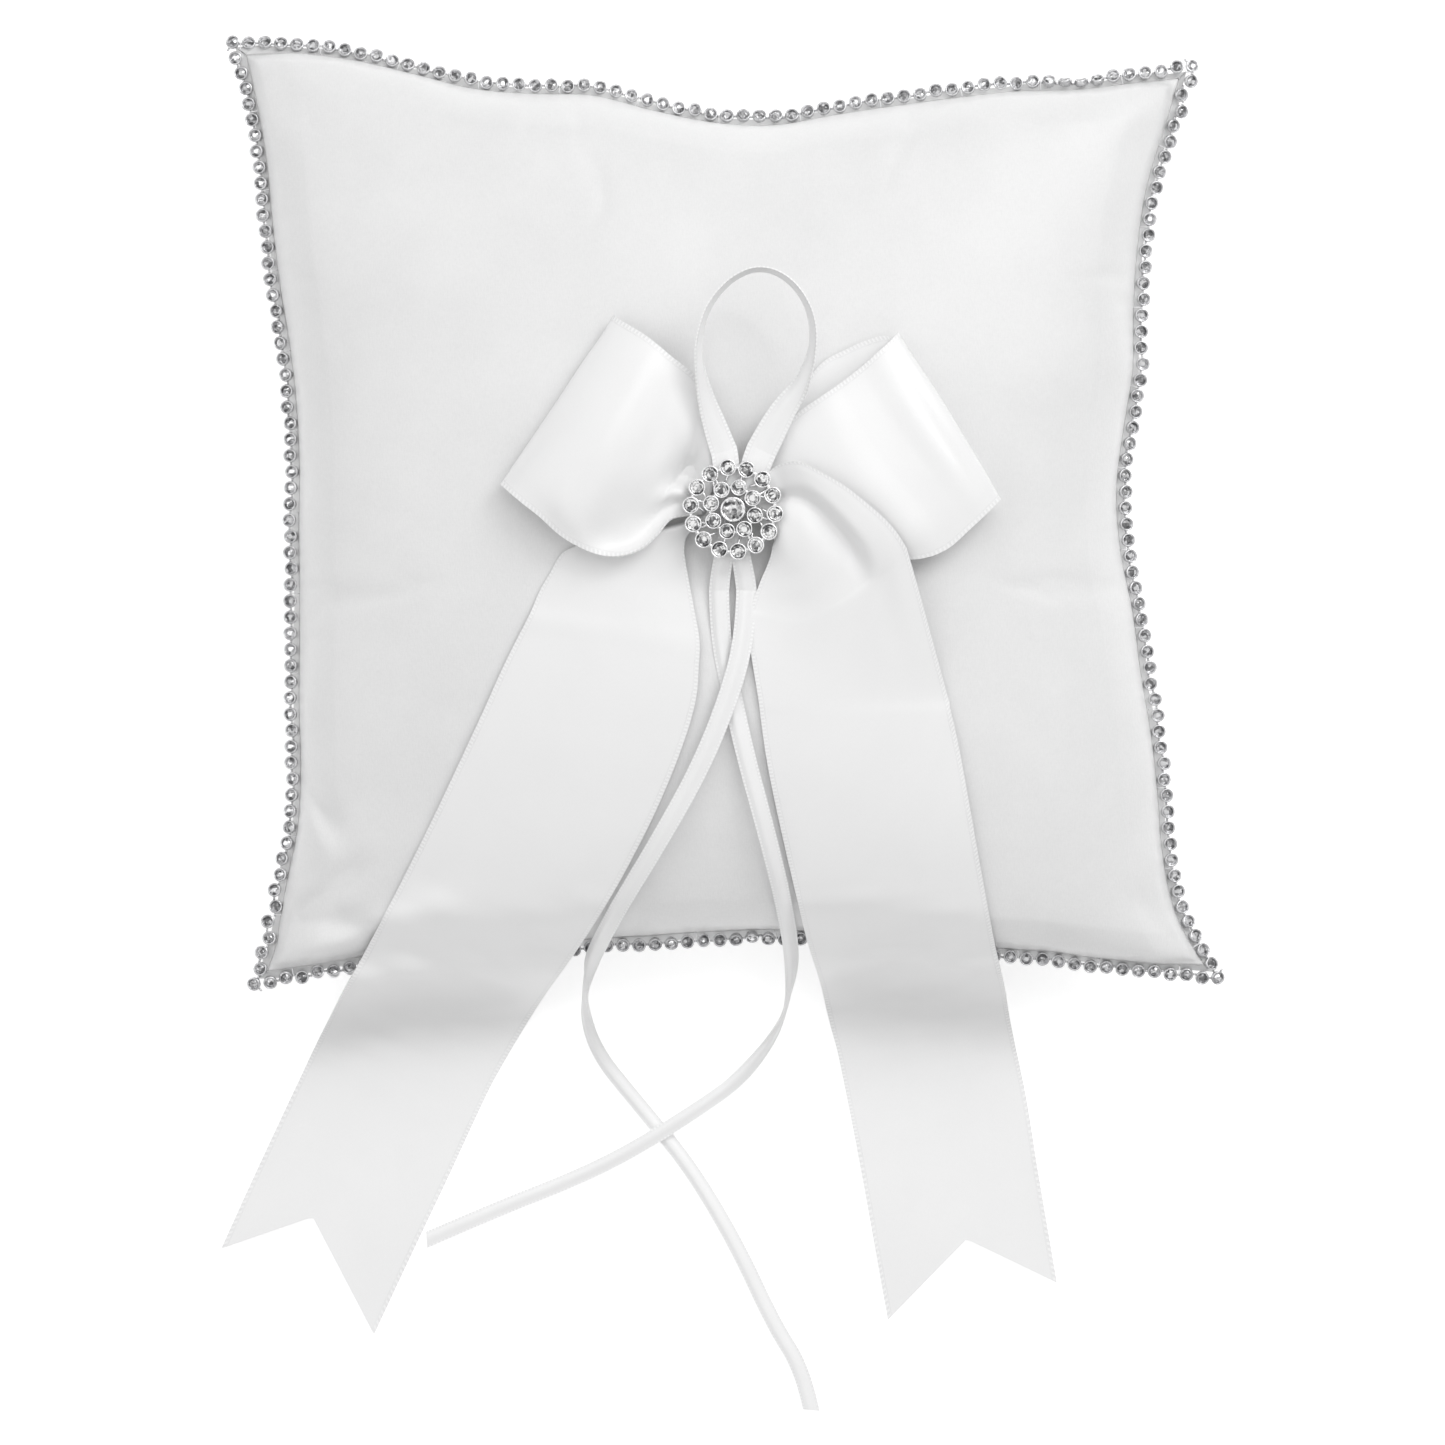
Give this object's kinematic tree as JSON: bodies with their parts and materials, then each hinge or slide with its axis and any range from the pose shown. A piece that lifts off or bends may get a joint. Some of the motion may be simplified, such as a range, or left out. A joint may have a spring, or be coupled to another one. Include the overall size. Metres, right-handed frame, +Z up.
{
  "type": "ring bearer pillow",
  "caption": "Square satin cushion with a rhinestone edge, a wide ribbon bow with long tails, a narrow ribbon loop and ties for the rings, and a round stone brooch.",
  "frame": {"origin": "middle of the cushion's flat resting face, on the table", "axes": "+Z up out of the front panel, +Y towards the ring loop (the tails run towards -Y), +X to the right seen from above"},
  "size_m": [0.2168, 0.2975, 0.0666],
  "materials": {
    "satin_pillow": "ivory-white satin weave, soft sheen",
    "satin_ribbon": "white satin ribbon with woven edges, soft sheen",
    "narrow_ribbon": "narrow white satin ribbon",
    "fibre": "loose polyester fibre",
    "thread": "white sewing thread",
    "trim_metal": "bright silver-coloured cups",
    "brooch_metal": "bright silver plating",
    "trim_crystal": "faceted foil-backed rhinestone",
    "brooch_crystal": "faceted foil-backed rhinestone"
  },
  "bodies": {
    "pillow": {"pillow_front_panel": "satin_pillow", "pillow_back_panel": "satin_pillow", "fibre_filling": "fibre", "closing_stitches": "thread", "trim_settings": "trim_metal", "trim_stones": "trim_crystal", "trim_stitches": "thread", "bow_tail_left_root": "satin_ribbon", "bow_tail_right_root": "satin_ribbon", "bow_loop_left": "satin_ribbon", "bow_loop_right": "satin_ribbon", "bow_centre_gather": "satin_ribbon", "bow_tie_thread": "thread", "bow_stitches": "thread", "ring_ribbon_centre": "narrow_ribbon", "brooch_frame": "brooch_metal", "brooch_outer_stones": "brooch_crystal", "brooch_inner_stones": "brooch_crystal", "brooch_centre_stone": "brooch_crystal", "brooch_sewing_bar": "brooch_metal"},
    "tail_left": {"bow_tail_left": "satin_ribbon"},
    "tail_right": {"bow_tail_right": "satin_ribbon"},
    "ring_ties": {"ring_tie_a": "narrow_ribbon", "ring_tie_b": "narrow_ribbon"},
    "ring_loop_body": {"ring_loop": "narrow_ribbon"}
  },
  "joints": [
    {"name": "tail_left_lift", "type": "hinge", "parent": "pillow", "child": "tail_left", "pos_m": [-0.0225, -0.0156, 0.0562], "axis": [-1, 0, 0], "range_deg": [0, 90]},
    {"name": "tail_right_lift", "type": "hinge", "parent": "pillow", "child": "tail_right", "pos_m": [0.0234, -0.0156, 0.0562], "axis": [-1, 0, 0], "range_deg": [0, 90]},
    {"name": "ring_ties_lift", "type": "hinge", "parent": "pillow", "child": "ring_ties", "pos_m": [0.001, -0.0156, 0.0562], "axis": [-1, 0, 0], "range_deg": [0, 90]},
    {"name": "ring_loop_lift", "type": "hinge", "parent": "pillow", "child": "ring_loop_body", "pos_m": [0.0033, 0.0122, 0.06], "axis": [1, 0, 0], "range_deg": [0, 80]}
  ]
}
